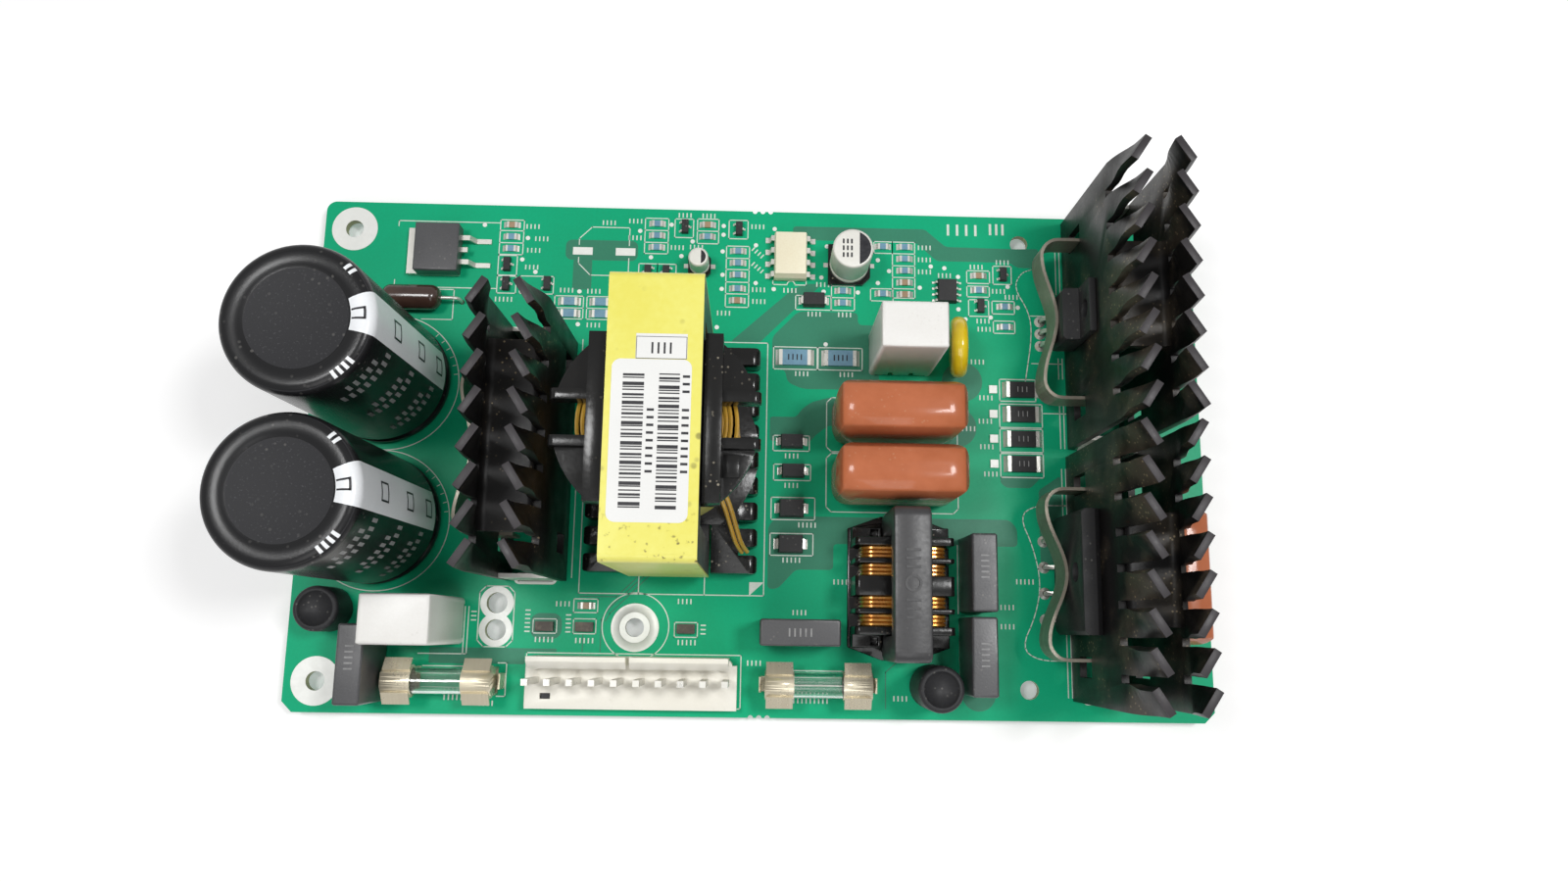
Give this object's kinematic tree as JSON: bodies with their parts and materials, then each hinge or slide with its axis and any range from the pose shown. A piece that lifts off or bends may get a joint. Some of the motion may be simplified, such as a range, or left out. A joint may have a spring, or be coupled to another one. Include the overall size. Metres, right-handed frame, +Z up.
{
  "type": "open-frame power supply",
  "caption": "Open-frame switching power supply: a circuit board with a taped transformer, twisted-finger heatsinks, capacitors, choke, fuses and a pin header.",
  "frame": {"origin": "centre of the rectangle of four mounting holes, on the underside of the circuit board", "axes": "+X along the board's length towards the two heatsinks, +Y towards the rear edge away from the header, +Z up off the component side"},
  "size_m": [0.1778, 0.1016, 0.052],
  "materials": {
    "green_mask": "green solder mask over a glass-fibre board",
    "tinned_metal": "tinned metal",
    "black_sleeve": "shrunk black sleeve",
    "ferrite": "dark ferrite",
    "black_moulding": "black moulded plastic",
    "enamelled_copper": "enamelled copper wire",
    "yellow_tape": "yellow polyester tape",
    "white_label": "blank white label",
    "black_anodised": "black anodised aluminium",
    "spring_steel": "plated spring strip",
    "black_epoxy": "black moulded epoxy",
    "brown_coating": "glossy brown dipped coating",
    "grey_box": "dark grey box moulding",
    "white_box": "white box moulding",
    "yellow_coating": "glossy yellow dipped coating",
    "dark_brown_coating": "dark brown dipped coating",
    "fuse_glass": "clear glass",
    "fuse_metal": "nickel-plated brass",
    "cream_moulding": "cream moulded plastic",
    "cream_epoxy": "cream moulded epoxy",
    "can_aluminium": "bare aluminium can",
    "blue_glaze": "blue glazed resistor body",
    "tan_ceramic": "tan ceramic body"
  },
  "bodies": {
    "root": {"board": "green_mask", "tinned_pads": "tinned_metal", "ground_eyelet": "tinned_metal", "solder_joints": "tinned_metal", "bulk_capacitor_1": "black_sleeve", "bulk_capacitor_2": "black_sleeve", "bulk_terminals": "tinned_metal", "transformer_core": "ferrite", "transformer_bobbin": "black_moulding", "transformer_winding": "enamelled_copper", "transformer_tape": "yellow_tape", "transformer_labels": "white_label", "transformer_pins": "tinned_metal", "choke_core": "ferrite", "choke_bobbin": "black_moulding", "choke_winding": "enamelled_copper", "choke_pins": "tinned_metal", "heatsink_left": "black_anodised", "heatsink_rear": "black_anodised", "heatsink_front": "black_anodised", "heatsink_tabs": "tinned_metal", "spring_clip_left": "spring_steel", "spring_clip_rear": "spring_steel", "spring_clip_front": "spring_steel", "output_rectifier": "black_epoxy", "switch_transistor": "black_epoxy", "bridge_rectifier": "black_epoxy", "device_leads": "tinned_metal", "film_capacitor_1": "brown_coating", "film_capacitor_2": "brown_coating", "film_capacitor_3": "brown_coating", "box_capacitor_1": "grey_box", "box_capacitor_2": "grey_box", "box_capacitor_3": "grey_box", "box_capacitor_4": "grey_box", "white_capacitor_1": "white_box", "white_capacitor_2": "white_box", "disc_capacitor": "yellow_coating", "sleeved_inductor_1": "black_sleeve", "sleeved_inductor_2": "black_sleeve", "axial_inductor": "dark_brown_coating", "component_leads": "tinned_metal", "fuse_tubes": "fuse_glass", "fuse_caps": "fuse_metal", "fuse_wires": "tinned_metal", "fuse_clips": "spring_steel", "header_housing": "cream_moulding", "header_pins": "tinned_metal", "thyristor_body": "black_epoxy", "thyristor_metal": "tinned_metal", "optocoupler": "cream_epoxy", "moulded_chips": "black_epoxy", "chip_leads": "tinned_metal", "can_capacitors": "can_aluminium", "can_bases": "black_moulding", "resistor_chips": "blue_glaze", "capacitor_chips": "tan_ceramic", "chip_ends": "tinned_metal", "sense_resistors": "black_epoxy", "test_points": "tinned_metal"}
  },
  "joints": []
}
